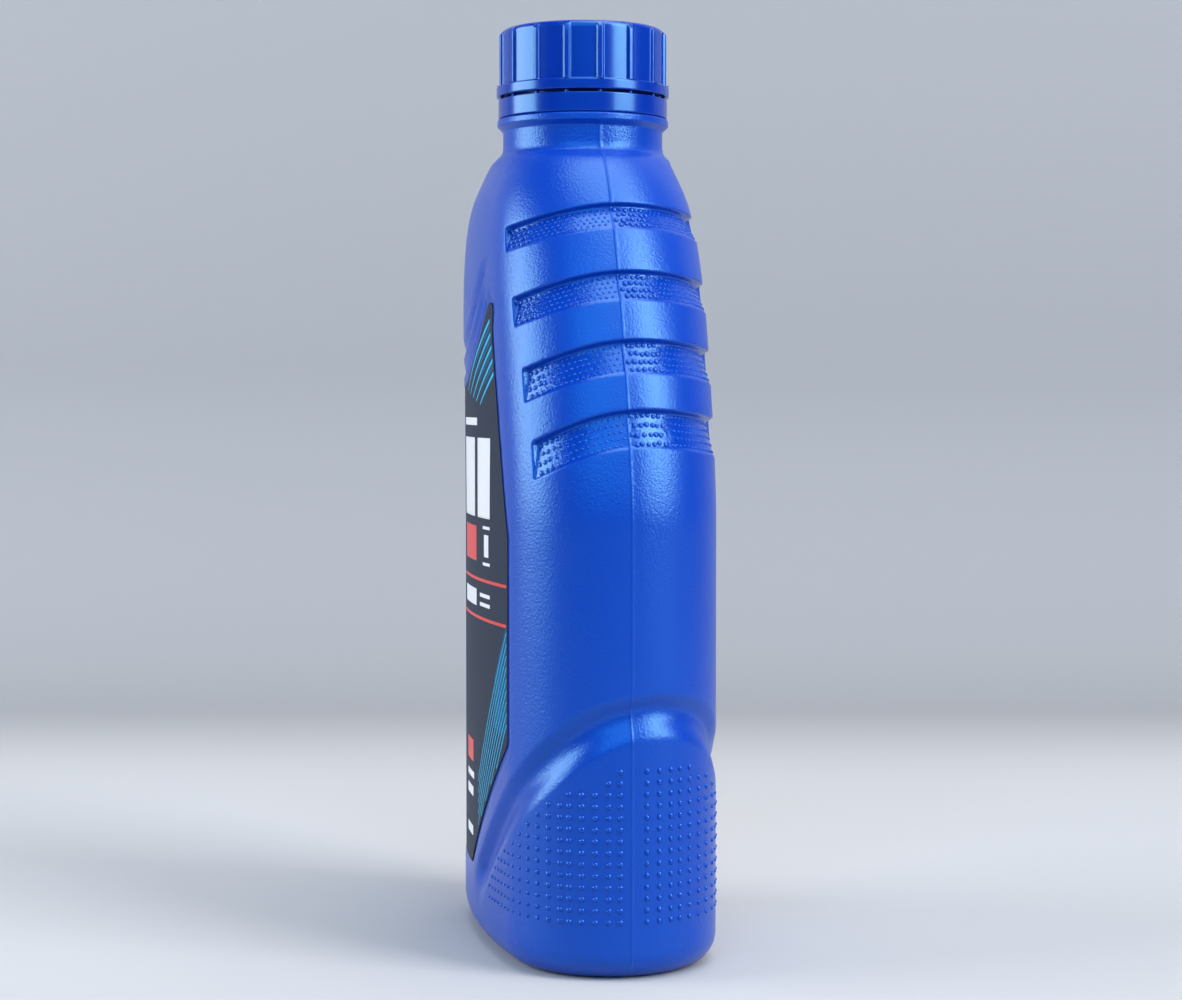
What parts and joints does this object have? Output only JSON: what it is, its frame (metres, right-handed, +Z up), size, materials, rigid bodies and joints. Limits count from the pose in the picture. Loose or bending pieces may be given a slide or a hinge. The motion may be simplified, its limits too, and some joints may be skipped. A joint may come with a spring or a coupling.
{
  "type": "motor oil bottle",
  "caption": "Flat oval blow-moulded oil bottle with grip grooves on one sloping side, labels front and back, and a ribbed screw cap over a tamper band.",
  "frame": {"origin": "on the table under the neck's axis, at the centre of the neck and at the foot's height", "axes": "+Z up along the neck, +X to the sloping grip side, -Y to the front label"},
  "size_m": [0.1114, 0.0591, 0.24],
  "materials": {
    "bottle_blue": "satin blown polyethylene with a fine pebbled mould grain",
    "oil": "clear amber oil",
    "front_film": "printed film with fields of slate, cyan, red and white",
    "back_film": "printed film with plain fields of colour",
    "cap_blue": "glossy moulded polypropylene",
    "wad": "white pulp wad",
    "foil": "heat-sealed foil"
  },
  "bodies": {
    "pack": {"bottle": "bottle_blue", "oil_fill": "oil", "front_label": "front_film", "back_label": "back_film", "tamper_band": "cap_blue", "foil_seal": "foil"},
    "wad": {"cap_liner": "wad"},
    "cap": {"screw_cap": "cap_blue"}
  },
  "joints": [
    {"name": "cap_lift", "type": "slide", "parent": "pack", "child": "wad", "axis": [0, 0, 1], "range_m": [0, 0.017]},
    {"name": "cap_turn", "type": "hinge", "parent": "wad", "child": "cap", "pos_m": [0, 0, 0.23], "axis": [0, 0, 1], "range_deg": [0, 1440]}
  ],
  "couplings": [
    {"joint": "cap_lift", "follows": "cap_turn", "m_per_rad": 0.00066845}
  ]
}
